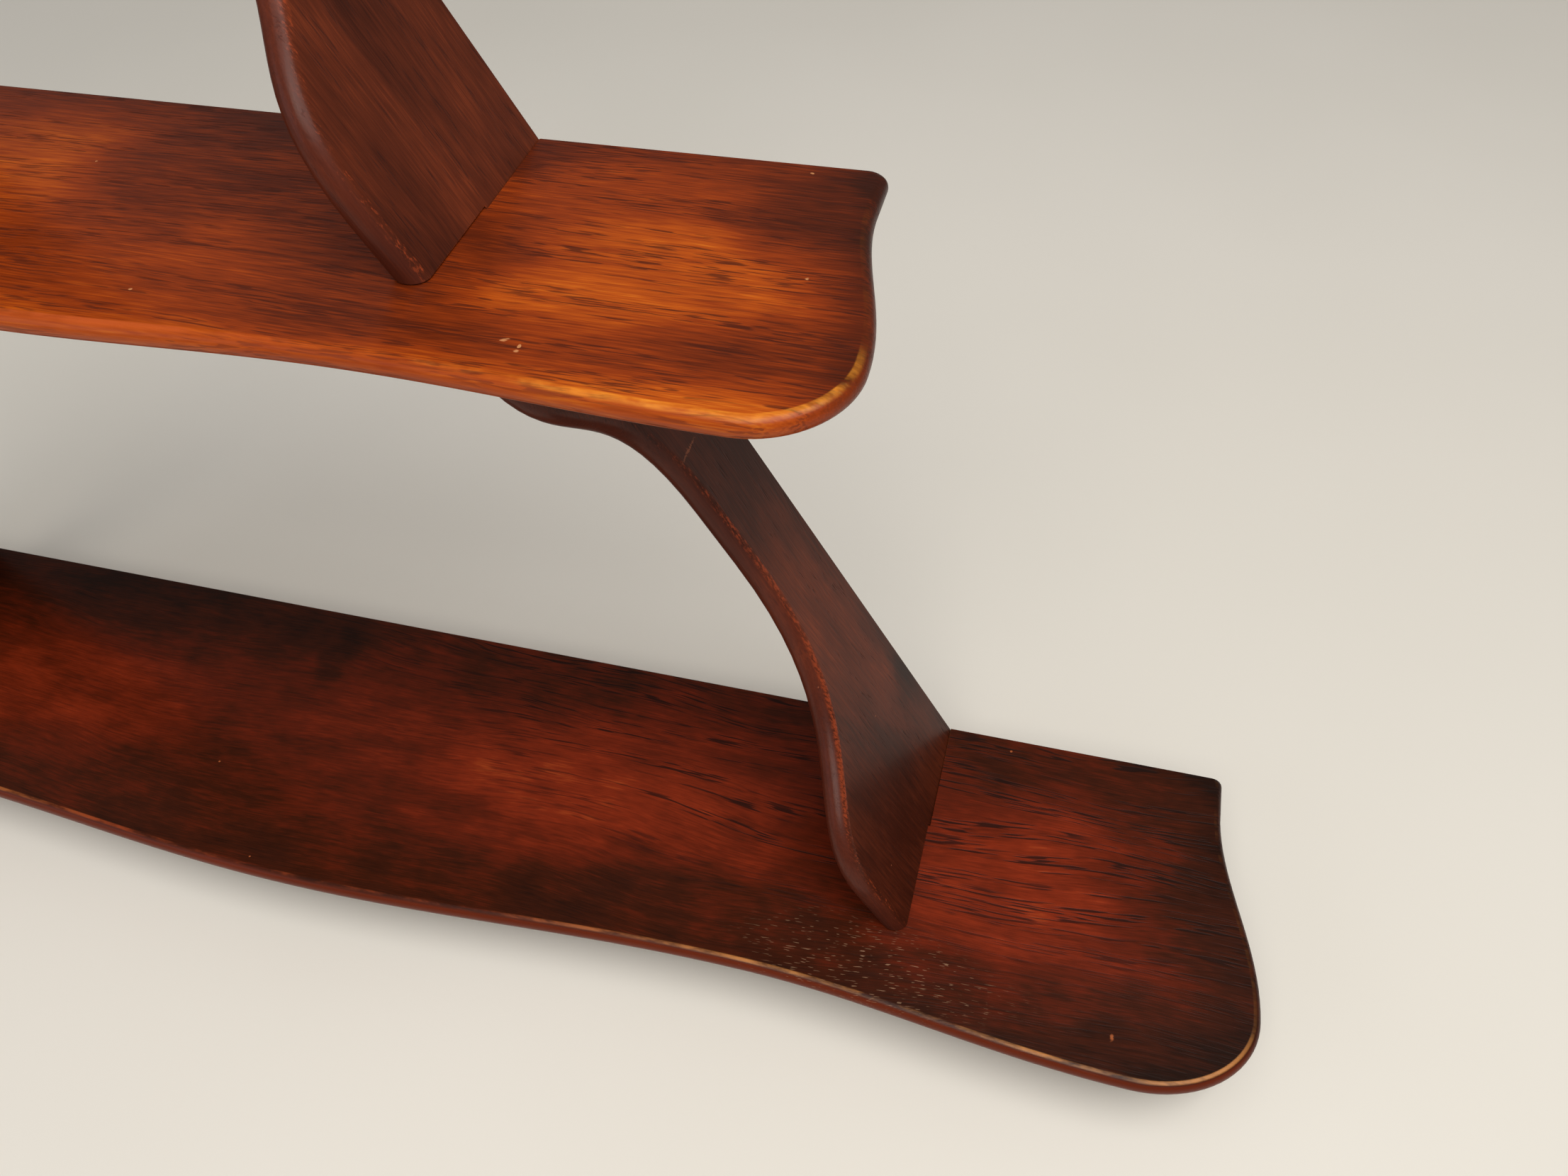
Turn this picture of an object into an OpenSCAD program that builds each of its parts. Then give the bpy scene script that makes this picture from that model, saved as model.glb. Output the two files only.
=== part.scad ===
// Two-tier wall shelf in thin hardwood. Two serpentine boards are slotted onto two
// leaning side boards, which cross and are slotted into each other at the top.
// Frame: X along the boards, Y towards the wall, Z up from the feet, X = 0 in the middle.

/* [Lower board] */
// Length over the rounded ends
lower_len = 666; // [540:1:820]
// Depth at the rounded ends
lower_depth = 116; // [100:0.5:150]
// Depth in the middle of the front edge
lower_mid_depth = 115.5; // [98:0.5:150]
// Depth at the two shallow dips of the front edge
lower_dip_depth = 107.5; // [95:0.5:140]
// Distance of each dip from the middle
lower_dip_x = 170; // [120:1:200]
// Length of the corner curve along the front
lower_corner_len = 38; // [25:1:50]
// Depth of the corner curve along the end
lower_corner_depth = 30; // [20:1:45]
// How far each end draws in from its corner to the back edge
lower_draw_in = 14.7; // [0:0.1:25]

/* [Upper board] */
// Length over the rounded ends
upper_len = 407; // [330:1:500]
// Depth at the rounded ends
upper_depth = 94; // [80:0.5:120]
// Depth in the middle of the front edge
upper_mid_depth = 94; // [78:0.5:120]
// Depth at the two shallow dips of the front edge
upper_dip_depth = 90.5; // [76:0.5:115]
// Distance of each dip from the middle
upper_dip_x = 90; // [60:1:110]
// Length of the corner curve along the front
upper_corner_len = 24; // [15:1:35]
// Depth of the corner curve along the end
upper_corner_depth = 23; // [15:1:35]
// How far each end draws in from its corner to the back edge
upper_draw_in = 10.3; // [0:0.1:20]

/* [Both boards] */
// Thickness of the boards
board_t = 6; // [4:0.5:10]
// Straight length of each end next to the back edge
end_straight = 13; // [5:1:25]

/* [Stand] */
// Height of the lower board's top face above the feet
lower_top = 33; // [24:1:60]
// Height from the lower board's top face to the upper board's
tier_gap = 225; // [180:1:280]
// Distance between the uprights' outer faces at the lower board's top face
low_spread = 440; // [360:1:520]
// Distance between the uprights' outer faces at the upper board's top face
high_spread = 204; // [160:1:250]

/* [Uprights] */
// Thickness of the uprights
upright_t = 8; // [6:0.5:12]
// Width at the lower board
low_lobe_w = 84; // [60:0.5:100]
// Width at the upper board
high_lobe_w = 65.5; // [45:0.5:80]
// Width at the waist between the boards
waist_w = 33; // [20:0.5:45]
// Width at the waist above the upper board
neck_w = 30; // [20:0.5:45]
// Width where the two uprights cross
crown_w = 44; // [34:0.5:60]
// Half the straight length of the lobe at the lower board
low_lobe_flat = 24; // [15:1:40]
// Half the straight length of the lobe at the upper board
high_lobe_flat = 18.5; // [12:0.5:30]
// Half the straight length at the crossing
crown_flat = 12; // [10:1:18]
// How far the rounded tip rises above that
crown_rise = 24; // [16:1:36]
// Half the straight length of the waist
waist_flat = 11; // [2:1:20]
// How far the waist is above the middle of the curve between the two lobes
waist_above_middle = 9; // [-15:1:15]
// How strongly the lower lobe holds the edge curve, as a share of the way to the waist
low_lobe_pull = 0.4; // [0.1:0.01:0.6]
// How strongly the waist holds the edge curve below it
below_waist_pull = 0.77; // [0.4:0.01:0.85]
// How strongly the waist holds the edge curve above it
above_waist_pull = 0.67; // [0.4:0.01:0.85]
// How strongly the upper lobe holds the edge curve
high_lobe_pull = 0.5; // [0.1:0.01:0.6]

/* [Joints] */
// Side clearance of every slot
slot_gap = 0.25; // [0.15:0.05:0.6]
// Gap left between the two slot ends of a halving joint
slot_end_gap = 0.4; // [0.2:0.1:1]

/* [Hanger] */
// Width of the brass plate
plate_w = 18; // [17:0.5:24]
// Thickness of the brass plate
plate_t = 1.2; // [1:0.1:2]
// Height of the nail hole above the crossing
ear_rise = 20; // [17:0.5:28]
// How far the plate's lower end centre is below the crossing
plate_drop = 10; // [8:0.5:16]
// Radius of the nail hole
nail_r = 2.5; // [2:0.1:3.5]
// Distance of each screw from the crossing, along its upright
screw_reach = 11; // [10.5:0.1:12]
// Radius of the screw heads
head_r = 2.4; // [2:0.1:2.6]
// Radius of the screw shanks
shank_r = 1.2; // [0.9:0.1:1.5]
// Length of the screws
screw_len = 12; // [8:1:16]
// Clearance around the plate in its recess and round the screws
fit_gap = 0.05; // [0.03:0.01:0.15]

/* [Hidden] */

lean = atan((low_spread - high_spread) / 2 / tier_gap);
back_y = lower_depth / 2;
upper_top = lower_top + tier_gap;
cross_z = lower_top + (low_spread / 2 - upright_t / 2 / cos(lean)) / tan(lean);

// Distances along an upright's outer face from the lower board's top face
high_u = tier_gap / cos(lean);
cross_u = (cross_z - lower_top) * cos(lean) + low_spread / 2 * sin(lean);
waist_u = (low_lobe_flat + high_u - high_lobe_flat) / 2 + waist_above_middle;
neck_u = (high_u + high_lobe_flat + cross_u - crown_flat) / 2;

curve_steps = 9;
round_steps = 6;
past = 20;    // how far a cutting shape runs past what it cuts
reach = 400;  // half the size of a shape that cuts everything on one side
wood = [0.36, 0.13, 0.07];
$fn = 48;

// A smooth rise or fall from d0 to d1 while t goes from 0 to 1
function swell(t, d0, d1) = d0 + (d1 - d0) * (1 - cos(180 * t)) / 2;

// Half of a board's outline, from the middle of the front edge to the back corner
function board_half(len, depth, mid, dip, dip_x, corner_x, corner_y, draw_in) =
    let (lobe_x = len / 2 - corner_x, lobe_y = depth - corner_y, steps = curve_steps)
    concat(
        [for (i = [0:steps - 1]) [dip_x * i / steps, -swell(i / steps, mid, dip)]],
        [for (i = [0:steps - 1])
            [dip_x + (lobe_x - dip_x) * i / steps, -swell(i / steps, dip, depth)]],
        [for (i = [0:steps - 1]) let (a = 90 * i / steps)
            [lobe_x + corner_x * sin(a), -(lobe_y + corner_y * cos(a))]],
        [for (i = [0:steps]) let (t = i / steps)
            [swell(t, len / 2, len / 2 - draw_in), -(lobe_y + (end_straight - lobe_y) * t)]],
        [[len / 2 - draw_in, 0]]
    );

// The whole outline, from the left back corner round the front to the right one
function both_halves(half) = concat(
    [for (i = [len(half) - 1:-1:1]) [-half[i][0], half[i][1]]],
    half
);

// One cubic curve between two places of an upright's front edge
function edge_curve(a, b, pull_a, pull_b) =
    let (span = b[1] - a[1], p = [0, span * pull_a], q = [0, span * pull_b])
    [for (i = [0:curve_steps - 1]) let (t = i / curve_steps, s = 1 - t)
        s * s * s * a + 3 * s * s * t * (a + p) + 3 * s * t * t * (b - q) + t * t * t * b];

// An upright's outline as [width, height along the upright], from its foot up the front and
// over the round tip, ending at the back of the foot
function upright_outline() =
    let (
        foot = [low_lobe_w, -lower_top - upright_t - past],
        low_end = [low_lobe_w, low_lobe_flat],
        waist_low = [waist_w, waist_u - waist_flat],
        waist_high = [waist_w, waist_u + waist_flat],
        high_start = [high_lobe_w, high_u - high_lobe_flat],
        high_end = [high_lobe_w, high_u + high_lobe_flat],
        neck = [neck_w, neck_u],
        crown_start = [crown_w, cross_u - crown_flat]
    )
    concat(
        [foot],
        edge_curve(low_end, waist_low, low_lobe_pull, below_waist_pull),
        [waist_low],
        edge_curve(waist_high, high_start, above_waist_pull, high_lobe_pull),
        edge_curve(high_end, neck, high_lobe_pull, above_waist_pull),
        edge_curve(neck, crown_start, above_waist_pull, high_lobe_pull),
        [crown_start],
        [for (i = [0:curve_steps]) let (a = 90 * i / curve_steps)
            [crown_w * cos(a), cross_u + crown_flat + crown_rise * sin(a)]],
        [[0, foot[1]]]
    );

// Unit vector to the left of the outline at point i, which is into the shape
function inward(points, i) =
    let (
        before = points[max(i - 1, 0)],
        after = points[min(i + 1, len(points) - 1)],
        way = (after - before) / norm(after - before)
    )
    [-way[1], way[0]];

// A plate whose outline runs anticlockwise, with a full round edge all along it. The closing
// side of the outline stays square.
module soft_plate(points, thick) {
    n = len(points);
    rings = [for (k = [0:round_steps]) -90 + 180 * k / round_steps];
    verts = [for (a = rings) for (i = [0:n - 1])
        let (p = points[i] + inward(points, i) * thick / 2 * (1 - cos(a)))
        [p[0], p[1], thick / 2 * (1 + sin(a))]];
    sides = [for (k = [0:round_steps - 1]) for (i = [0:n - 1])
        let (j = (i + 1) % n, a = k * n + i, b = k * n + j, c = b + n, d = a + n)
        each [[a, d, c], [a, c, b]]];
    caps = [[for (i = [0:n - 1]) i], [for (i = [n - 1:-1:0]) round_steps * n + i]];
    polyhedron(verts, concat(sides, caps));
}

// Puts its children in the middle of one upright's thickness, at the lower board's top face
module on_upright(side) {
    translate([side * low_spread / 2, back_y, lower_top])
        rotate([0, -side * lean, 0])
            translate([-side * upright_t / 2, 0, 0])
                children();
}

// The room that an upright takes between two depths, with the slots' clearance
module upright_room(side, from_depth, to_depth) {
    on_upright(side)
        translate([-upright_t / 2 - slot_gap, -to_depth, -reach / 2])
            cube([upright_t + 2 * slot_gap, to_depth - from_depth, 2 * reach]);
}

// The room that a board takes in front of a depth, with the slots' clearance
module board_room(top, from_depth) {
    translate([-reach, back_y - lower_depth - past, top - board_t - slot_gap])
        cube([2 * reach, lower_depth + past - from_depth, board_t + 2 * slot_gap]);
}

// A board at its height, slotted from the back for half the width of the uprights
module board(half, top, lobe_w) {
    color(wood)
        difference() {
            translate([0, back_y, top - board_t])
                soft_plate(both_halves(half), board_t);
            for (side = [-1, 1])
                upright_room(side, -past, (lobe_w + slot_end_gap) / 2);
        }
}

module lower_shelf() {
    half = board_half(lower_len, lower_depth, lower_mid_depth, lower_dip_depth, lower_dip_x,
        lower_corner_len, lower_corner_depth, lower_draw_in);
    board(half, lower_top, low_lobe_w);
}

module upper_shelf() {
    half = board_half(upper_len, upper_depth, upper_mid_depth, upper_dip_depth, upper_dip_x,
        upper_corner_len, upper_corner_depth, upper_draw_in);
    board(half, upper_top, high_lobe_w);
}

// A shaped upright with its foot cut level
module upright_blank(side) {
    difference() {
        on_upright(side)
            translate([upright_t / 2, 0, 0])
                rotate([90, 0, -90])
                    linear_extrude(upright_t)
                        polygon(upright_outline());
        translate([-reach, -reach, -2 * reach])
            cube(2 * reach);
    }
}

// An upright with the slots for both boards and the room for the hanger
module slotted_upright(side) {
    difference() {
        upright_blank(side);
        board_room(lower_top, (low_lobe_w - slot_end_gap) / 2);
        board_room(upper_top, (high_lobe_w - slot_end_gap) / 2);
        plate_recess();
        screw_holes();
    }
}

// The right upright is slotted from the front at the crossing, and the left from the back
module right_upright() {
    color(wood)
        difference() {
            slotted_upright(1);
            intersection() {
                upright_room(-1, (crown_w - slot_end_gap) / 2, crown_w + past);
                crossing_zone();
            }
        }
}

module left_upright() {
    color(wood)
        difference() {
            slotted_upright(-1);
            intersection() {
                upright_room(1, -past, (crown_w + slot_end_gap) / 2);
                crossing_zone();
            }
        }
}

// A box round the crossing, clear of the rest of the uprights
module crossing_zone() {
    translate([-reach / 4, -reach / 4, cross_z - reach / 8])
        cube([reach / 2, reach / 2, reach / 4]);
}

// The strap's outline, grown by a clearance, standing on the back plane and running forwards
module strap(grow, depth) {
    translate([0, back_y, cross_z])
        rotate([90, 0, 0])
            linear_extrude(depth) {
                translate([0, ear_rise]) circle(plate_w / 2 + grow);
                translate([0, -plate_drop]) circle(plate_w / 2 + grow);
                translate([-plate_w / 2 - grow, -plate_drop])
                    square([plate_w + 2 * grow, ear_rise + plate_drop]);
            }
}

module plate_recess() {
    translate([0, past / 2, 0])
        strap(fit_gap, past / 2 + plate_t + fit_gap);
}

// Screw centres on the back plane, one on each arm of the crossing
function screw_place(i) =
    let (side = i % 2 == 0 ? 1 : -1, rise = i < 2 ? 1 : -1)
    [side * screw_reach * sin(lean), back_y, cross_z + rise * screw_reach * cos(lean)];

// A countersunk screw or its hole, with its head flush with the back plane
module screw_shape(i, grow) {
    translate(screw_place(i))
        rotate([90, 0, 0]) {
            cylinder(h = head_r - shank_r, r1 = head_r + grow, r2 = shank_r + grow);
            cylinder(h = screw_len + grow, r = shank_r + grow);
        }
}

module screw_holes() {
    for (i = [0:3])
        screw_shape(i, fit_gap);
}

module hanger_plate() {
    color("goldenrod")
        difference() {
            strap(0, plate_t);
            screw_holes();
            translate([0, back_y + past, cross_z + ear_rise])
                rotate([90, 0, 0])
                    cylinder(h = 2 * past, r = nail_r);
        }
}

// One screw with the slot that a screwdriver turns it by
module hanger_screw(i) {
    drive_w = 0.7;
    drive_d = 0.6;
    drive_turn = 35;
    color("gold")
        difference() {
            screw_shape(i, 0);
            translate(screw_place(i))
                rotate([0, drive_turn * i, 0])
                    translate([-past / 2, -drive_d, -drive_w / 2])
                        cube([past, 2 * drive_d, drive_w]);
        }
}

lower_shelf();
upper_shelf();
right_upright();
left_upright();
hanger_plate();
hanger_screw(0);  // hanger_screw_1
hanger_screw(1);  // hanger_screw_2
hanger_screw(2);  // hanger_screw_3
hanger_screw(3);  // hanger_screw_4
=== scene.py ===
import math
import bmesh
import bpy
from mathutils import Matrix, Vector


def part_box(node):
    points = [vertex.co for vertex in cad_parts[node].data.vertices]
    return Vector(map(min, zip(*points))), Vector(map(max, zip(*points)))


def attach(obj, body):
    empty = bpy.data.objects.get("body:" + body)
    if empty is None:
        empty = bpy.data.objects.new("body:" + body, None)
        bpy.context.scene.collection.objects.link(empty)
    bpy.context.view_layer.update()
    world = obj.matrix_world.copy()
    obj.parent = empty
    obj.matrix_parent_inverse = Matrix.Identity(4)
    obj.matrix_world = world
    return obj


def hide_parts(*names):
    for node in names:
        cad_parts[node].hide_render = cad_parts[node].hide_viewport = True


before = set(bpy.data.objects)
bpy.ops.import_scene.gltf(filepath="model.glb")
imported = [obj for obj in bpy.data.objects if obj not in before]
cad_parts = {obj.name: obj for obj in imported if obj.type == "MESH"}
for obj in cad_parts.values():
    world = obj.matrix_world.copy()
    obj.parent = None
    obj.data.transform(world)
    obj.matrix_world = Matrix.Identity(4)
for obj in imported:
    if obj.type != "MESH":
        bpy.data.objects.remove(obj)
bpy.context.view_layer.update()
print("frame loaded:", len(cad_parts), "nodes")

lowerLow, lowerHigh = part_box("lower_shelf")
upperLow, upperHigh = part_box("upper_shelf")
backY = lowerHigh.y                      # the plane of all the back edges
boardThick = lowerHigh.z - lowerLow.z
lowerTop, upperTop = lowerHigh.z, upperHigh.z

stand = {
    "lowSpread": 0.440,      # between the outer faces, at the lower board's top
    "highSpread": 0.204,     # and at the upper board's top
    "thick": 0.008,
    "slotGap": 0.00025,      # side clearance in the slots
    "endGap": 0.0004,        # left between two slot ends
    "easedEdge": 0.0003,     # width of the sanded arris on every square edge
}
lean = math.atan((stand["lowSpread"] - stand["highSpread"]) / 2 / (upperTop - lowerTop))
crossZ = lowerTop + (stand["lowSpread"] / 2 - stand["thick"] / 2 / math.cos(lean)) / math.tan(lean)
# the same crossing, measured along an upright from the lower board's top
crossU = (crossZ - lowerTop) * math.cos(lean) + stand["lowSpread"] / 2 * math.sin(lean)
wayPast = 0.02               # how far a cutter runs past what it cuts
samePlace = 1e-6             # points closer than this are one


def swell(t, first, last):
    # half a cosine wave, from first at 0 to last at 1
    return first + (last - first) * (1 - math.cos(math.pi * t)) / 2


def boardOutline(v, steps=20, backSteps=6):
    # from the left back corner round the front to the right back corner, as (x, y)
    lobeX = v["length"] / 2 - v["cornerLength"]
    lobeY = v["depth"] - v["cornerDepth"]
    endX = v["length"] / 2 - v["drawIn"]
    half = []
    for i in range(steps):
        half.append((v["dipX"] * i / steps, swell(i / steps, v["middleDepth"], v["dipDepth"])))
    for i in range(steps):
        x = v["dipX"] + (lobeX - v["dipX"]) * i / steps
        half.append((x, swell(i / steps, v["dipDepth"], v["depth"])))
    for i in range(steps):
        a = math.pi / 2 * i / steps
        half.append((lobeX + v["cornerLength"] * math.sin(a), lobeY + v["cornerDepth"] * math.cos(a)))
    for i in range(steps):
        t = i / steps
        half.append((swell(t, v["length"] / 2, endX), lobeY + (v["endStraight"] - lobeY) * t))
    # the back corner is sanded round, but meets the wall plane before its curve runs along it
    for i in range(backSteps + 1):
        a = math.radians(v["backCornerTurn"]) * i / backSteps
        half.append((endX - v["backCorner"] * (1 - math.cos(a)),
                     v["backCorner"] * (math.sin(math.radians(v["backCornerTurn"])) - math.sin(a))))
    left = [(-x, y) for x, y in reversed(half[1:])]
    return [Vector((x, backY - y)) for x, y in left + half]


def edgeCurve(a, b, pullA, pullB, steps=20):
    # a cubic curve between two places of an upright's front edge, each (width, height)
    a, b = Vector(a), Vector(b)
    way = Vector((0, b.y - a.y))
    fromA, fromB = a + way * pullA, b - way * pullB
    pts = []
    for i in range(steps):
        t = i / steps
        s = 1 - t
        pts.append(s**3 * a + 3 * s * s * t * fromA + 3 * s * t * t * fromB + t**3 * b)
    return pts


def uprightOutline(v, crownSteps=24):
    # from the foot up the front edge, over the round tip and down the straight back
    highU = (upperTop - lowerTop) / math.cos(lean)
    footU = -lowerTop - 1.5 * wayPast
    lobeEnd = (v["lowLobe"], v["lowFlat"])
    waistAt = (v["lowFlat"] + highU - v["highFlat"]) / 2 + v["waistRise"]
    waistLow = (v["waist"], waistAt - v["waistFlat"])
    waistHigh = (v["waist"], waistAt + v["waistFlat"])
    highStart = (v["highLobe"], highU - v["highFlat"])
    highEnd = (v["highLobe"], highU + v["highFlat"])
    neck = (v["neck"], (highU + v["highFlat"] + crossU - v["crownFlat"]) / 2)
    crownStart = (v["crown"], crossU - v["crownFlat"])
    pts = [Vector((v["lowLobe"], footU))]
    pts += edgeCurve(lobeEnd, waistLow, v["lowLobePull"], v["belowWaistPull"])
    pts.append(Vector(waistLow))
    pts += edgeCurve(waistHigh, highStart, v["aboveWaistPull"], v["highLobePull"])
    pts.append(Vector(highStart))
    pts += edgeCurve(highEnd, neck, v["highLobePull"], v["aboveWaistPull"])
    pts += edgeCurve(neck, crownStart, v["aboveWaistPull"], v["highLobePull"])
    pts.append(Vector(crownStart))
    for i in range(crownSteps + 1):
        a = math.pi / 2 * i / crownSteps
        pts.append(Vector((v["crown"] * math.cos(a), crossU + v["crownFlat"] + v["crownRise"] * math.sin(a))))
    pts.append(Vector((0, footU)))
    return pts


def roundedPlate(pts, thick, squareFrom, roundShare=0.485):
    # an outline drawn out to a thickness, with a full round all along it, roundShare of the
    # thickness from each face, but not on the straight sides from point squareFrom to the first
    bm = bmesh.new()
    ring = [bm.verts.new((p.x, p.y, 0)) for p in pts]
    face = bm.faces.new(ring)
    grown = bmesh.ops.extrude_face_region(bm, geom=[face])
    lifted = [g for g in grown["geom"] if isinstance(g, bmesh.types.BMVert)]
    bmesh.ops.translate(bm, verts=lifted, vec=(0, 0, thick))
    bmesh.ops.recalc_face_normals(bm, faces=bm.faces[:])
    corners = [Vector((p.x, p.y)) for p in pts[squareFrom:] + [pts[0]]]

    def onSquareSide(edge):
        return all(min((v.co.xy - c).length for c in corners) < samePlace for v in edge.verts)

    level = [e for e in bm.edges if abs(e.verts[0].co.z - e.verts[1].co.z) < samePlace]
    softEdges = [e for e in level if not onSquareSide(e)]
    bmesh.ops.bevel(bm, geom=softEdges, affect="EDGES", offset=thick * roundShare, offset_type="OFFSET",
                    segments=8, profile=0.5, material=-1, clamp_overlap=False)
    return bm


def makePiece(name, bm):
    mesh = bpy.data.meshes.new(name)
    bm.to_mesh(mesh)
    bm.free()
    piece = bpy.data.objects.new(name, mesh)
    bpy.context.scene.collection.objects.link(piece)
    return piece


def boxCutter(low, high, place=Matrix()):
    bm = bmesh.new()
    bmesh.ops.create_cube(bm, size=1)
    size = [h - l for l, h in zip(low, high)]
    bmesh.ops.scale(bm, verts=bm.verts[:], vec=size)
    bmesh.ops.translate(bm, verts=bm.verts[:], vec=(Vector(low) + Vector(high)) / 2)
    bmesh.ops.transform(bm, verts=bm.verts[:], matrix=place)
    return makePiece("cutter", bm)


def cut(piece, cutters):
    # takes the cutters out of a piece for good, and leaves no modifier on it
    for cutter in cutters:
        mod = piece.modifiers.new("cut", "BOOLEAN")
        mod.operation, mod.solver, mod.object = "DIFFERENCE", "EXACT", cutter
    graph = bpy.context.evaluated_depsgraph_get()
    mesh = bpy.data.meshes.new_from_object(piece.evaluated_get(graph))
    piece.modifiers.clear()
    piece.data = mesh
    for cutter in cutters:
        bpy.data.objects.remove(cutter)


def easeEdges(piece, width, sharperThan=50, weldWithin=1e-5):
    # a narrow sanded arris along every square edge that is left
    bm = bmesh.new()
    bm.from_mesh(piece.data)
    bmesh.ops.remove_doubles(bm, verts=bm.verts[:], dist=weldWithin)
    limit = math.radians(sharperThan)
    square = [e for e in bm.edges if e.is_manifold and e.calc_face_angle() > limit]
    bmesh.ops.bevel(bm, geom=square, affect="EDGES", offset=width, offset_type="OFFSET",
                    segments=2, profile=0.5, material=-1, clamp_overlap=False)
    bm.to_mesh(piece.data)
    bm.free()


def smoothFinish(piece, sharpAngle=32, weight=80):
    for poly in piece.data.polygons:
        poly.use_smooth = True
    piece.data.set_sharp_from_angle(angle=math.radians(sharpAngle))
    mod = piece.modifiers.new("flats", "WEIGHTED_NORMAL")
    mod.keep_sharp = True
    mod.weight = weight


def uprightPlace(side):
    # the middle of one upright's thickness on its back edge, at the lower board's top
    return (Matrix.Translation((side * stand["lowSpread"] / 2, backY, lowerTop))
            @ Matrix.Rotation(-side * lean, 4, "Y")
            @ Matrix.Translation((-side * stand["thick"] / 2, 0, 0)))


cutterReach = {
    "low": -0.1, "high": 0.6,            # along an upright, from the lower board's top
    "front": 0.1,                        # in front of the back edge, past every upright's width
    "crossing": 0.03,                    # each way along an upright from the crossing
    "halfLength": 0.4, "depth": 0.2,     # of the block that stands for a board
}


def uprightRoom(side, fromDepth, toDepth, low=cutterReach["low"], high=cutterReach["high"]):
    # the room that an upright takes, between two depths from the back
    half = stand["thick"] / 2 + stand["slotGap"]
    return boxCutter((-half, -toDepth, low), (half, -fromDepth, high), uprightPlace(side))


def boardRoom(top, fromDepth):
    # the room that a board takes, in front of a depth from the back
    gap = stand["slotGap"]
    long, deep = cutterReach["halfLength"], cutterReach["depth"]
    return boxCutter((-long, backY - deep, top - boardThick - gap), (long, backY - fromDepth, top + gap))


hanger = {
    "width": 0.018, "thick": 0.0012, "rise": 0.020, "drop": 0.010, "gap": 0.00005,
    "screwReach": 0.011, "screwRadius": 0.0012, "screwLength": 0.012,
}


def strapRoom(steps=24):
    # the stadium-shaped recess for the brass plate, open at the back
    v = hanger
    radius = v["width"] / 2 + v["gap"]
    pts = []
    for centre, start in ((v["rise"], 0), (-v["drop"], math.pi)):
        for i in range(steps + 1):
            a = start + math.pi * i / steps
            pts.append((radius * math.cos(a), crossZ + centre + radius * math.sin(a)))
    bm = bmesh.new()
    face = bm.faces.new([bm.verts.new((x, backY + wayPast, z)) for x, z in pts])
    grown = bmesh.ops.extrude_face_region(bm, geom=[face])
    lifted = [g for g in grown["geom"] if isinstance(g, bmesh.types.BMVert)]
    bmesh.ops.translate(bm, verts=lifted, vec=(0, -wayPast - v["thick"] - v["gap"], 0))
    bmesh.ops.recalc_face_normals(bm, faces=bm.faces[:])
    return makePiece("cutter", bm)


def screwRooms():
    # one hole for each screw, in the four arms of the crossing
    v = hanger
    radius = v["screwRadius"] + v["gap"]
    rooms = []
    for across in (-1, 1):
        for rise in (-1, 1):
            bm = bmesh.new()
            bmesh.ops.create_cone(bm, cap_ends=True, segments=24, radius1=radius, radius2=radius,
                                  depth=v["screwLength"] * 2)
            x, z = across * v["screwReach"] * math.sin(lean), rise * v["screwReach"] * math.cos(lean)
            place = Matrix.Translation((x, backY, crossZ + z)) @ Matrix.Rotation(math.pi / 2, 4, "X")
            bmesh.ops.transform(bm, verts=bm.verts[:], matrix=place)
            rooms.append(makePiece("cutter", bm))
    return rooms


lowerBoard = {
    "length": lowerHigh.x - lowerLow.x, "depth": lowerHigh.y - lowerLow.y,
    "middleDepth": 0.1155, "dipDepth": 0.1075, "dipX": 0.170,
    "cornerLength": 0.038, "cornerDepth": 0.030, "drawIn": 0.0147, "endStraight": 0.013,
    "backCorner": 0.0031, "backCornerTurn": 40,
}
upperBoard = {
    "length": upperHigh.x - upperLow.x, "depth": upperHigh.y - upperLow.y,
    "middleDepth": 0.094, "dipDepth": 0.0905, "dipX": 0.090,
    "cornerLength": 0.024, "cornerDepth": 0.023, "drawIn": 0.0103, "endStraight": 0.013,
    "backCorner": 0.0032, "backCornerTurn": 50,
}
upright = {
    "lowLobe": 0.084, "highLobe": 0.0655, "waist": 0.033, "neck": 0.030, "crown": 0.044,
    "lowFlat": 0.024, "highFlat": 0.0185, "crownFlat": 0.012, "crownRise": 0.024,
    "waistFlat": 0.011, "waistRise": 0.009,
    "lowLobePull": 0.4, "belowWaistPull": 0.77, "aboveWaistPull": 0.67, "highLobePull": 0.5,
}


def makeBoard(name, node, v, top, lobe):
    pts = boardOutline(v)
    bm = roundedPlate(pts, boardThick, len(pts) - 1)
    bmesh.ops.translate(bm, verts=bm.verts[:], vec=(0, 0, top - boardThick))
    piece = makePiece(name, bm)
    slotEnd = (lobe + stand["endGap"]) / 2
    cut(piece, [uprightRoom(side, -wayPast, slotEnd) for side in (-1, 1)])
    easeEdges(piece, stand["easedEdge"])
    smoothFinish(piece)
    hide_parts(node)
    return piece


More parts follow.
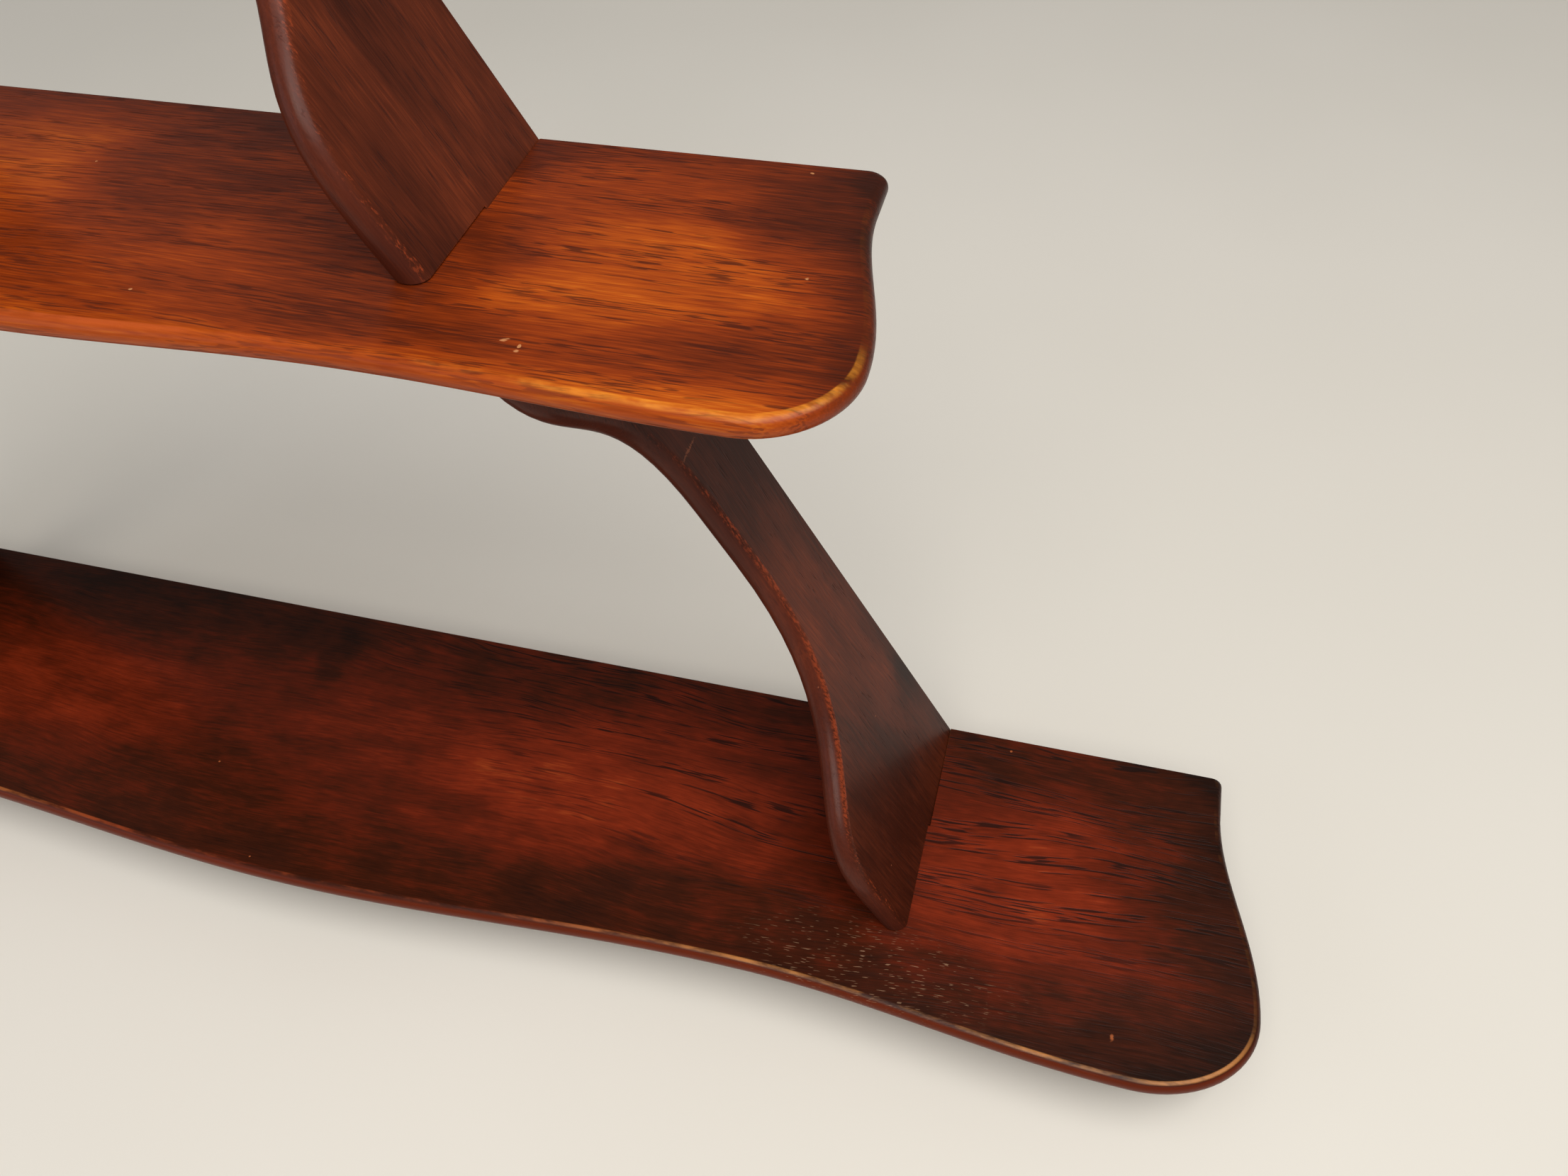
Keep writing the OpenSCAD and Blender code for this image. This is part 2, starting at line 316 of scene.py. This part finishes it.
def makeUpright(name, node, side):
    v = upright
    pts = uprightOutline(v)
    bm = roundedPlate(pts, stand["thick"], len(pts) - 2)
    # from the drawing plane, (width, height, thickness), to the upright's own place
    standUp = Matrix(((0, 0, -1, stand["thick"] / 2), (-1, 0, 0, 0), (0, 1, 0, 0), (0, 0, 0, 1)))
    bmesh.ops.transform(bm, verts=bm.verts[:], matrix=uprightPlace(side) @ standUp)
    everything = bm.verts[:] + bm.edges[:] + bm.faces[:]
    foot = bmesh.ops.bisect_plane(bm, geom=everything, plane_co=(0, 0, 0), plane_no=(0, 0, 1),
                                  clear_inner=True)
    rim = [g for g in foot["geom_cut"] if isinstance(g, bmesh.types.BMEdge)]
    bmesh.ops.holes_fill(bm, edges=rim)
    bmesh.ops.recalc_face_normals(bm, faces=bm.faces[:])
    piece = makePiece(name, bm)
    gap = stand["endGap"] / 2
    cutters = [boardRoom(lowerTop, v["lowLobe"] / 2 - gap), boardRoom(upperTop, v["highLobe"] / 2 - gap)]
    # at the crossing the right upright is slotted from the front and the left one from the back
    low, high = crossU - cutterReach["crossing"], crossU + cutterReach["crossing"]
    if side > 0:
        cutters.append(uprightRoom(-1, v["crown"] / 2 - gap, cutterReach["front"], low, high))
    else:
        cutters.append(uprightRoom(1, -wayPast, v["crown"] / 2 + gap, low, high))
    cut(piece, cutters + [strapRoom()] + screwRooms())
    easeEdges(piece, stand["easedEdge"])
    smoothFinish(piece)
    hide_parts(node)
    return piece


lowerPiece = makeBoard("lower_board", "lower_shelf", lowerBoard, lowerTop, upright["lowLobe"])
upperPiece = makeBoard("upper_board", "upper_shelf", upperBoard, upperTop, upright["highLobe"])
rightPiece = makeUpright("right_side", "right_upright", 1)
leftPiece = makeUpright("left_side", "left_upright", -1)
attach(lowerPiece, "lower_board")
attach(upperPiece, "upper_board")
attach(rightPiece, "stand")
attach(leftPiece, "stand")
print("wood pieces built")


class Number:
    # one number coming out of a material's nodes; sums on it add Math nodes
    def __init__(self, finish, socket):
        self.finish, self.socket = finish, socket

    def maths(self, operation, *values, clamp=False):
        return self.finish.add("Math", {"operation": operation, "use_clamp": clamp}, dict(enumerate(values)))

    def __add__(self, other):
        return self.maths("ADD", self, other)

    def __sub__(self, other):
        return self.maths("SUBTRACT", self, other)

    def __rsub__(self, other):
        return self.maths("SUBTRACT", other, self)

    def __mul__(self, other):
        return self.maths("MULTIPLY", self, other)

    def __truediv__(self, other):
        return self.maths("DIVIDE", self, other)

    def __abs__(self):
        return self.maths("ABSOLUTE", self)

    def clamped(self):
        return self.maths("ADD", self, 0.0, clamp=True)

    def wave(self):
        # half a cosine wave, from 0 at 0 to 1 at 1
        return (1 - self.maths("COSINE", self * math.pi)) / 2

    __radd__, __rmul__ = __add__, __mul__


class Finish:
    # a material; add() makes any node and gives back one of its outputs
    def __init__(self, name):
        self.material = bpy.data.materials.new(name)
        self.material.use_nodes = True
        self.tree = self.material.node_tree
        self.shader = self.tree.nodes["Principled BSDF"]

    def add(self, kind, settings=None, inputs=None, out=0):
        node = self.tree.nodes.new("ShaderNode" + kind)
        settings = dict(settings or {})
        stops = settings.pop("stops", None)
        for key, value in settings.items():
            setattr(node, key, value)
        if stops:
            while len(node.color_ramp.elements) < len(stops):
                node.color_ramp.elements.new(0.5)
            for element, (at, colour) in zip(node.color_ramp.elements, stops):
                element.position, element.color = at, colour
        for key, value in (inputs or {}).items():
            self.feed(node.inputs[key], value)
        return Number(self, node.outputs[out])

    def feed(self, socket, value):
        if isinstance(value, Number):
            self.tree.links.new(value.socket, socket)
        else:
            socket.default_value = value

    def surface(self, **values):
        for key, value in values.items():
            name = "".join(" " + c if c.isupper() else c for c in key).strip().title()
            self.feed(self.shader.inputs[name.replace("Ior", "IOR")], value)

    def place(self, shift=(0, 0, 0), turn=(0, 0, 0)):
        # a pattern's own place: the object's coordinates turned, then shifted
        coords = self.add("TexCoord", out="Object")
        values = {"Vector": coords, "Location": shift, "Rotation": turn}
        return self.add("Mapping", {"vector_type": "POINT"}, values)

    def split(self, spot):
        first = self.add("SeparateXYZ", {}, {0: spot})
        return [Number(self, out) for out in first.socket.node.outputs]

    def join(self, x, y, z):
        return self.add("CombineXYZ", {}, {0: x, 1: y, 2: z})

    def noise(self, spot, size, detail=2.0, rough=0.5, seed=0.0):
        # size is the length in metres of one blotch along each axis; the result is centred on 0
        scaled = self.add("VectorMath", {"operation": "MULTIPLY"}, {0: spot, 1: [1 / s for s in size]})
        moved = self.add("VectorMath", {"operation": "ADD"}, {0: scaled, 1: (seed, seed * 1.7, seed * 0.6)})
        made = self.add("TexNoise", {}, {"Vector": moved, "Scale": 1.0, "Detail": detail, "Roughness": rough})
        return made - 0.5

    def fade(self, value, low, high):
        # 0 below low, 1 above high, smooth between
        return self.add("MapRange", {"interpolation_type": "SMOOTHSTEP"}, {0: value, 1: low, 2: high})

    def blend(self, amount, under, over):
        return self.add("Mix", {"data_type": "RGBA"}, {0: amount, 6: under, 7: over}, out=2)


def tint(red, green, blue):
    # a screen colour, 0 to 255, as the linear colour that a shader takes
    def linear(c):
        c /= 255
        return c / 12.92 if c <= 0.04045 else ((c + 0.055) / 1.055) ** 2.4
    return (linear(red), linear(green), linear(blue), 1)


class Wood(Finish):
    # stained wood; along runs with the grain, across is 0 at the back edge and negative
    # towards the front, and through is 0 in the middle of the thickness
    def __init__(self, name, v, thick, shift, turn=(0, 0, 0), board=None):
        super().__init__(name)
        self.v, self.board = v, board
        self.spot = self.place(shift, turn)
        self.along, self.across, self.through = self.split(self.spot)
        self.rim = abs(self.through) / (thick / 2)        # 1 on either face
        wander = self.own(self.spot, "wanderSize", 0, 1, 0.5)
        ripple = self.own(self.spot, "rippleSize", 3, 1, 0.5)
        bent = self.across + wander * v["wander"] + ripple * v["ripple"]
        self.grain = self.join(self.along, bent, self.through)
        self.cloud = self.own(self.spot, "cloudSize", 5, 2, 0.55)
        self.streak = self.own(self.grain, "streakSize", 7, 2, 0.6)
        self.fibre = self.own(self.grain, "fibreSize", 9, 1, 0.5)
        self.rub = self.own(self.spot, "rubSize", 15, 3, 0.7)
        if board:
            self.fromEnd = board["length"] / 2 - abs(self.along)
            self.fromFront = self.frontDepth() + self.across
            inside = self.fade(self.fromFront, *v["frontStrip"])
            self.onFront = 1 - inside * (1 - v["endWear"])

    def own(self, where, size, step, detail, rough):
        # a noise with one of the finish's own sizes; step keeps it apart from the others
        return self.noise(where, self.v[size], detail, rough, self.v["seed"] + step)

    def frontDepth(self):
        # how deep the board is at this distance along it, on the same curve as its outline
        b = self.board
        x = abs(self.along)
        lobeX = b["length"] / 2 - b["cornerLength"]
        inner = (x / b["dipX"]).clamped().wave()
        outer = ((x - b["dipX"]) / (lobeX - b["dipX"])).clamped().wave()
        toDip, toLobe = b["dipDepth"] - b["middleDepth"], b["depth"] - b["dipDepth"]
        return inner * toDip + outer * toLobe + b["middleDepth"]

    def pushed(self, by, amounts):
        # the place on the wood, moved about by a noise so that blotches get uneven outlines
        return self.along + by * amounts[0], self.across + by * amounts[1]

    def softSpot(self, place, spot):
        # 1 in the middle of a blotch, 0 outside it
        x, y, halfX, halfY = spot
        dx = (place[0] - x) / halfX
        dy = (place[1] - y) / halfY
        return 1 - self.fade(dx * dx + dy * dy, 0, 1)

    def shade(self, distance, key):
        # how much darker the colour is near an edge that is this far away, paler where the amount is
        # negative; some of it is painted shade and painted highlight, marked in the wood values
        nearEdge = 1 - self.fade(self.cloud * self.v[key + "Push"] + distance, 0, self.v[key + "Width"])
        return nearEdge * self.v[key]

    def tone(self):
        # from 0, the darkest stain, to 1, the palest wood; painted shade and painted highlight near some
        # edges and in some blotches go into it as well
        v = self.v
        mottle = self.own(self.spot, "mottleSize", 25, 3, 0.6)
        tone = self.cloud * v["cloud"] + self.streak * v["streak"] + self.fibre * v["fibre"]
        tone = tone + mottle * v["mottle"] + v["tone"]
        place = self.pushed(self.cloud, v["blotchPush"])
        for *spot, lift in v["blotches"]:
            tone = tone + self.softSpot(place, spot) * lift
        if self.board:
            tone = tone - self.shade(self.fromEnd, "endShade")
            tone = tone - self.shade(self.fromFront, "frontShade")
        return tone - self.shade(self.across * -1, "backShade")

    def pores(self):
        # they lie end to end in rows, fewer along the front and fainter towards the left
        v = self.v
        rows = self.fade(self.own(self.grain, "rowSize", 11, 1, 0.5), *v["rowLimits"])
        rows = rows * (self.fade(self.across, *v["rowFront"]) * (1 - v["rowKept"]) + v["rowKept"])
        pore = self.fade(self.own(self.grain, "poreSize", 13, 1, 0.4), *v["poreLimits"]) * rows
        left = 1 - self.fade(self.along + self.across * v["poreSlant"], *v["poreChange"])
        return pore * (1 - left * v["poreLeft"])

    def roundEdge(self):
        # the round edges, which took less stain
        side = (1 - self.fade(self.rim, *self.v["sideLimits"])) * self.v["side"]
        return side * self.onFront if self.board else side

    def worn(self):
        # the arrises between the round edges and the faces, rubbed in long and short patches; towards the
        # ends of the boards this mask also carries a painted golden highlight
        v = self.v
        longRub = self.own(self.spot, "longRubSize", 17, 1, 0.5)
        arris = self.fade(self.rim, *v["arrisStart"]) * (1 - self.fade(self.rim, *v["arrisEnd"]))
        worn = arris * self.fade(self.rub + longRub * v["longRub"], *v["wearLimits"]) * v["wear"]
        return worn * self.onFront if self.board else worn

    def specks(self):
        # pale specks anywhere, and the dings at their own places
        v = self.v
        speck = self.fade(self.own(self.spot, "speckSize", 19, 0, 0.5), *v["speckLimits"])
        place = self.pushed(self.rub, v["dingPush"])
        for spot in v["dings"]:
            speck = speck + self.softSpot(place, spot)
        return speck.clamped()

    def paintedGlints(self, spot):
        # painted glints: pale flecks of reflected light, painted in the pores of one rubbed patch
        v = self.v
        fleck = self.fade(self.own(self.grain, "glintSize", 21, 0, 0.5), *v["glintLimits"])
        return self.softSpot(self.pushed(self.cloud, v["glintPush"]), spot) * fleck

    def finished(self):
        v = self.v
        pore = self.pores()
        worn = self.worn()
        colour = self.add("ValToRGB", {"stops": v["stain"]}, {0: self.tone()})
        colour = self.blend(pore * v["poreInk"], colour, v["poreColour"])
        colour = self.blend(self.roundEdge(), colour, v["sideColour"])
        # the rubbed arrises are orange wear in the middle and golden towards the ends, partly wear and partly
        # a painted highlight
        nearEnd = self.fade(abs(self.along), *v["wearChange"])
        colour = self.blend(worn, colour, self.blend(nearEnd, v["wearMiddleColour"], v["wearAndHighlightEndColour"]))
        colour = self.blend(self.specks() * v["speckInk"], colour, v["speckColour"])
        # painted glints: pale flecks that stand for light reflected in the pores
        for spot in v["paintedGlints"]:
            colour = self.blend(self.paintedGlints(spot) * v["paintedGlintInk"], colour, v["paintedGlintColour"])
        satin = self.own(self.spot, "satinSize", 23, 3, 0.6) * v["satin"]
        roughness = satin + pore * v["poreRough"] - worn * v["wornGloss"] + self.fibre * v["fibreRough"]
        height = self.fibre * v["fibreRise"] + self.streak * v["streakRise"] - pore * v["poreDrop"]
        normal = self.add("Bump", {}, {"Strength": v["bump"], "Distance": v["bumpDepth"], "Height": height})
        self.surface(baseColor=colour, roughness=roughness + v["rough"], normal=normal, coatWeight=v["coat"],
                     coatRoughness=v["coatRough"], specularIorLevel=v["specular"])
        return self.material


# sizes are the length in metres of one blotch of a noise along each axis; spots are
# (along, across, half their length, half their width), and a blotch ends with how much it pales
lowerWood = {
    "seed": 2.3,
    "wander": 0.030, "wanderSize": (0.15, 0.05, 0.05), "ripple": 0.002, "rippleSize": (0.030, 0.016, 0.016),
    "tone": 0.45, "cloud": 0.56, "cloudSize": (0.085, 0.045, 0.045),
    "streak": 0.34, "streakSize": (0.040, 0.0016, 0.0016),
    "fibre": 0.34, "fibreSize": (0.007, 0.0005, 0.0005),
    "mottle": 0.54, "mottleSize": (0.018, 0.009, 0.009),
    "stain": [(0.0, tint(33, 14, 6)), (0.28, tint(61, 23, 8)), (0.55, tint(98, 31, 11)),
              (0.80, tint(132, 43, 17)), (1.0, tint(164, 68, 28))],
    "blotches": [
        (0.248, -0.054, 0.058, 0.034, 0.27),
        (0.150, -0.060, 0.064, 0.026, 0.16),
        (0.085, -0.050, 0.078, 0.032, 0.20),
        (-0.125, -0.057, 0.078, 0.036, 0.18),
        (-0.250, -0.054, 0.064, 0.034, 0.22),
        (0.030, -0.060, 0.070, 0.030, 0.07),
        (0.262, -0.018, 0.070, 0.030, 0.12),
        # painted sheen: paler at the rear, right of the middle
        (0.115, -0.020, 0.085, 0.030, 0.13),
        (0.072, -0.098, 0.060, 0.022, -0.12),
        (-0.010, -0.080, 0.070, 0.025, -0.05),
        (-0.023, -0.018, 0.011, 0.024, -0.15),
        # painted shade: darker at the rear, under the left half of the upper board
        (-0.110, -0.010, 0.120, 0.034, -0.14),
    ],
    "blotchPush": (0.06, 0.04),
    "endShade": 0.36, "endShadeWidth": 0.064, "endShadePush": 0.03,
    "frontShade": 0.22, "frontShadeWidth": 0.046, "frontShadePush": 0.02,
    # painted shade: the whole back strip is painted darker, like the shade the upper board casts on it
    "backShade": 0.15, "backShadeWidth": 0.042, "backShadePush": 0.03,
    "rowSize": (0.070, 0.0042, 0.0042), "rowLimits": (-0.05, 0.07),
    "rowFront": (-0.095, -0.060), "rowKept": 0.3,        # the front keeps this share of its rows
    "poreSize": (0.0150, 0.0008, 0.0008), "poreLimits": (0.01, 0.11),
    "poreInk": 0.85, "poreColour": tint(26, 10, 5),
    "poreChange": (-0.09, 0.04), "poreSlant": 2, "poreLeft": 0.75,
    "side": 0.6, "sideLimits": (0.72, 0.97), "sideColour": tint(116, 43, 18),
    "arrisStart": (0.84, 0.95), "arrisEnd": (0.985, 0.9995),
    "rubSize": (0.012, 0.004, 0.004), "longRub": 1.2, "longRubSize": (0.07, 0.05, 0.05),
    "wear": 0.8, "wearLimits": (-0.26, 0.22),
    "frontStrip": (0.010, 0.032), "endWear": 0.1,        # behind the strip this share of it is left
    # the golden end colour is partly wear and partly a painted highlight
    "wearMiddleColour": tint(158, 68, 34), "wearAndHighlightEndColour": tint(200, 132, 70), "wearChange": (0.06, 0.19),
    "speckSize": (0.003, 0.003, 0.003), "speckLimits": (0.42, 0.44),
    "speckInk": 0.8, "speckColour": tint(176, 96, 54),
    "dings": [(0.288, -0.103, 0.0008, 0.0014)], "dingPush": (0.004, 0.004),
    # painted glints: pale flecks of painted reflection in the pores near the front right
    "paintedGlints": [(0.215, -0.096, 0.056, 0.019)], "glintPush": (0.05, 0.03),
    "glintSize": (0.0030, 0.00034, 0.00034), "glintLimits": (0.22, 0.28),
    "paintedGlintInk": 0.42, "paintedGlintColour": tint(196, 156, 122),
    "rough": 0.36, "satin": 0.18, "satinSize": (0.04, 0.03, 0.03),
    "poreRough": 0.15, "wornGloss": 0.12, "fibreRough": 0.1,
    "bump": 0.35, "bumpDepth": 0.0003, "fibreRise": 0.35, "streakRise": 0.25, "poreDrop": 0.6,
    "coat": 0.09, "coatRough": 0.18, "specular": 0.12,
}
upperWood = dict(lowerWood, **{
    "seed": 8.1, "wander": 0.010, "ripple": 0.0008,
    "tone": 0.46, "cloud": 0.45,
    "streak": 0.40, "streakSize": (0.030, 0.0011, 0.0011),
    "fibre": 0.46, "fibreSize": (0.009, 0.00045, 0.00045),
    "mottle": 0.34, "mottleSize": (0.022, 0.006, 0.006),
    "stain": [(0.0, tint(52, 19, 7)), (0.30, tint(96, 34, 9)), (0.55, tint(140, 53, 11)),
              (0.80, tint(180, 80, 15)), (1.0, tint(212, 116, 30))],
    "blotches": [
        (0.160, -0.047, 0.052, 0.027, 0.27),
        (0.176, -0.091, 0.046, 0.014, 0.14),
        (-0.030, -0.034, 0.045, 0.030, 0.22),
        (-0.150, -0.050, 0.060, 0.034, 0.20),
        (0.020, -0.034, 0.035, 0.028, -0.16),
        (0.096, -0.066, 0.046, 0.034, -0.15),
        (0.175, -0.069, 0.022, 0.014, -0.16),
        (0.188, -0.028, 0.032, 0.034, -0.30),
        (0.112, -0.004, 0.018, 0.012, -0.26),
    ],
    "endShade": 0.26, "endShadeWidth": 0.018,
    "frontShade": -0.26, "frontShadeWidth": 0.012,       # painted highlight: paler along the front, a golden glow
    "backShade": 0.10, "backShadeWidth": 0.022,
    "rowSize": (0.050, 0.0026, 0.0026), "rowLimits": (-0.06, 0.08), "rowFront": (-0.3, -0.2),
    "poreSize": (0.0085, 0.00055, 0.00055), "poreLimits": (0.01, 0.10),
    "poreInk": 0.75, "poreColour": tint(62, 22, 10), "poreLeft": 0.2,
    "side": 0.45, "sideColour": tint(150, 60, 16), "arrisStart": (0.66, 0.93),
    "wear": 0.85, "wearLimits": (-0.26, 0.28), "endWear": 0.03,
    # the golden end colour is partly wear and partly a painted highlight
    "wearMiddleColour": tint(184, 82, 34), "wearAndHighlightEndColour": tint(248, 160, 52), "wearChange": (0.08, 0.17),
    "speckSize": (0.0025, 0.0025, 0.0025), "speckLimits": (0.40, 0.42), "speckColour": tint(206, 142, 92),
    "dings": [
        (0.127, -0.079, 0.0009, 0.0004),
        (0.1315, -0.0815, 0.0008, 0.0004),
        (0.184, -0.046, 0.0005, 0.0005),
    ],
    "paintedGlints": [], "bump": 0.3, "coat": 0.14,
})
uprightWood = dict(lowerWood, **{
    "seed": 5.6, "wander": 0.012, "ripple": 0.001,
    "tone": 0.46,
    "streak": 0.32, "streakSize": (0.030, 0.0011, 0.0011), "fibreSize": (0.007, 0.0004, 0.0004),
    "mottle": 0.44, "mottleSize": (0.024, 0.014, 0.014),
    "stain": [(0.0, tint(36, 14, 8)), (0.30, tint(62, 25, 13)), (0.58, tint(94, 40, 21)),
              (0.82, tint(128, 57, 29)), (1.0, tint(156, 76, 38))],
    "blotches": [
        (0.255, -0.030, 0.030, 0.020, 0.10),
        (0.078, -0.026, 0.046, 0.036, 0.18),
        (0.285, -0.046, 0.055, 0.018, 0.12),
        # painted shade: dark by the back edge just above the lower board's slot
        (0.032, -0.007, 0.012, 0.008, -0.25),
        (0.005, -0.050, 0.050, 0.050, -0.18),
        (0.158, -0.028, 0.046, 0.034, -0.15),
        (0.322, -0.020, 0.050, 0.022, -0.14),
    ],
    "backShade": 0.08, "backShadeWidth": 0.008,
    "rowSize": (0.030, 0.0026, 0.0026), "rowLimits": (0.0, 0.12), "rowFront": (-0.3, -0.2),
    "poreSize": (0.0050, 0.0005, 0.0005), "poreLimits": (0.06, 0.16),
    "poreInk": 0.5, "poreColour": tint(46, 20, 14), "poreLeft": 0.0,
    "side": 0.45, "sideColour": tint(84, 36, 25), "arrisStart": (0.70, 0.93),
    "rubSize": (0.0020, 0.0007, 0.0007), "longRub": 0.8,
    "wear": 0.62, "wearLimits": (0.02, 0.22),
    "wearMiddleColour": tint(168, 72, 38), "wearAndHighlightEndColour": tint(168, 72, 38),
    "speckColour": tint(158, 90, 60),
    "dings": [(0.1677, -0.0260, 0.0004, 0.0075)],        # a fine scratch across the grain
    "paintedGlints": [], "rough": 0.40, "coat": 0.12,
})


def boardShift(top):
    # brings the middle of a board's back edge to the pattern's origin
    return (0, -backY, boardThick / 2 - top)


def uprightTurn(side):
    # brings an upright's back edge to the pattern's origin, with its length along the first axis
    angle = math.pi / 2 + side * lean
    start = uprightPlace(side).translation
    turned = Matrix.Rotation(angle, 3, "Y") @ start
    return -turned, (0, angle, 0)


stained = Wood("lowerBoardWood", lowerWood, boardThick, boardShift(lowerTop), board=lowerBoard)
lowerPiece.data.materials.append(stained.finished())
stained = Wood("upperBoardWood", upperWood, boardThick, boardShift(upperTop), board=upperBoard)
upperPiece.data.materials.append(stained.finished())
for piece, side in ((rightPiece, 1), (leftPiece, -1)):
    shift, turn = uprightTurn(side)
    seeded = dict(uprightWood, seed=uprightWood["seed"] + side)
    stained = Wood(piece.name + "Wood", seeded, stand["thick"], shift, turn)
    piece.data.materials.append(stained.finished())
print("wood stained")

brass = {
    "clean": tint(196, 158, 92), "dull": tint(132, 96, 54), "spot": tint(74, 54, 36),
    "tarnishSize": (0.009, 0.009, 0.009), "tarnishLimits": (-0.12, 0.16),
    "spotSize": (0.0016, 0.0016, 0.0016), "spotLimits": (0.12, 0.26), "spotInk": 0.7,
    "brushed": (0.02, 0.004, 0.00025),
    "rough": 0.34, "tarnishRough": 0.5, "brushedRough": 0.25, "spotRough": 0.2,
    "bump": 0.3, "bumpDepth": 0.00005, "spotRise": 0.5,
}


def brassFinish(name, v, seed):
    f = Finish(name)
    spot = f.place((0, -backY, -crossZ))
    tarnish = f.noise(spot, v["tarnishSize"], 4, 0.6, seed)
    spots = f.noise(spot, v["spotSize"], 2, 0.6, seed + 2)
    brushed = f.noise(spot, v["brushed"], 2, 0.5, seed + 4)
    colour = f.blend(f.fade(tarnish, *v["tarnishLimits"]), v["clean"], v["dull"])
    colour = f.blend(f.fade(spots, *v["spotLimits"]) * v["spotInk"], colour, v["spot"])
    roughness = tarnish * v["tarnishRough"] + brushed * v["brushedRough"] + spots * v["spotRough"]
    height = brushed + spots * v["spotRise"]
    normal = f.add("Bump", {}, {"Strength": v["bump"], "Distance": v["bumpDepth"], "Height": height})
    f.surface(baseColor=colour, roughness=roughness + v["rough"], metallic=1.0, normal=normal)
    return f.material


brightBrass = dict(brass, clean=tint(204, 168, 104), brushed=(0.004, 0.004, 0.004))
plateBrass = brassFinish("plateBrass", brass, 1.0)
screwBrass = brassFinish("screwBrass", brightBrass, 7.0)
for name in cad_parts:
    if name.startswith("hanger"):
        for slot in bpy.data.objects[name].material_slots:
            slot.material = plateBrass if name == "hanger_plate" else screwBrass
print("brass finished")

view = {
    "from": (0.2451, -0.2062, 0.4164),
    "turn": 18.05, "down": 48.94, "roll": -4.09,         # degrees, from looking level at the wall
    "lens": 28.27, "sensor": 36, "nearest": 0.01,
}


def placeCamera():
    lens = bpy.data.cameras.new("camera")
    lens.sensor_width, lens.lens = view["sensor"], view["lens"]
    lens.clip_start = view["nearest"]
    camera = bpy.data.objects.new("camera", lens)
    turn = (Matrix.Rotation(math.radians(view["turn"]), 4, "Z")
            @ Matrix.Rotation(math.radians(90 - view["down"]), 4, "X")
            @ Matrix.Rotation(math.radians(view["roll"]), 4, "Z"))
    camera.matrix_world = Matrix.Translation(view["from"]) @ turn
    bpy.context.scene.collection.objects.link(camera)
    bpy.context.scene.camera = camera


lights = {
    # place, what it points at, width and height, watts, colour
    "overhead": ((0.70, -0.42, 1.42), (0.18, 0, 0.1), (1.3, 0.9), 14.5, (1, 0.97, 0.93)),
    "ceiling": ((0.3, -1.0, 4.0), (0.3, -0.2, 0), (3.5, 3.0), 42, (1, 0.98, 0.95)),
    "lamp": ((0.10, -0.80, 1.15), (0.15, 0, 0.15), (0.5, 0.4), 2.8, (1, 0.93, 0.82)),
    "leftFill": ((-1.2, -1.0, 0.8), (0.1, 0, 0.15), (1.2, 0.9), 3, (0.80, 0.88, 1)),
}
room = {"colour": (1, 0.97, 0.93, 1), "strength": 0.19}
floorPaint = {
    "halfSize": 6, "below": 0.0002,                      # just clear of the feet
    "dark": tint(231, 227, 218), "pale": tint(237, 233, 225), "cloudSize": (0.4, 0.4, 0.4),
    "cloudLimits": (-0.3, 0.3), "rough": 0.5, "cloudRough": 0.1,
}


def areaLight(name, place, aim, size, power, colour):
    data = bpy.data.lights.new(name, "AREA")
    data.shape, data.size, data.size_y = "RECTANGLE", size[0], size[1]
    data.energy, data.color = power, colour
    light = bpy.data.objects.new(name, data)
    light.location = place
    light.rotation_euler = (Vector(aim) - Vector(place)).to_track_quat("-Z", "Y").to_euler()
    bpy.context.scene.collection.objects.link(light)


def makeFloor():
    v = floorPaint
    bm = bmesh.new()
    bmesh.ops.create_grid(bm, x_segments=1, y_segments=1, size=v["halfSize"])
    bmesh.ops.translate(bm, verts=bm.verts[:], vec=(0, 0, -v["below"]))
    floor = makePiece("floor", bm)
    f = Finish("floorPaint")
    cloud = f.noise(f.place(), v["cloudSize"], 3, 0.5, 1.0)
    colour = f.blend(f.fade(cloud, *v["cloudLimits"]), v["dark"], v["pale"])
    f.surface(baseColor=colour, roughness=cloud * v["cloudRough"] + v["rough"])
    floor.data.materials.append(f.material)


def makeRoom():
    # the even light that comes from all round
    world = bpy.data.worlds.new("room")
    world.use_nodes = True
    around = world.node_tree.nodes["Background"]
    around.inputs["Color"].default_value = room["colour"]
    around.inputs["Strength"].default_value = room["strength"]
    bpy.context.scene.world = world
    bpy.context.scene.view_settings.view_transform = "Standard"


placeCamera()
makeFloor()
makeRoom()
for name, values in lights.items():
    areaLight(name, *values)
print("camera, floor and light placed")
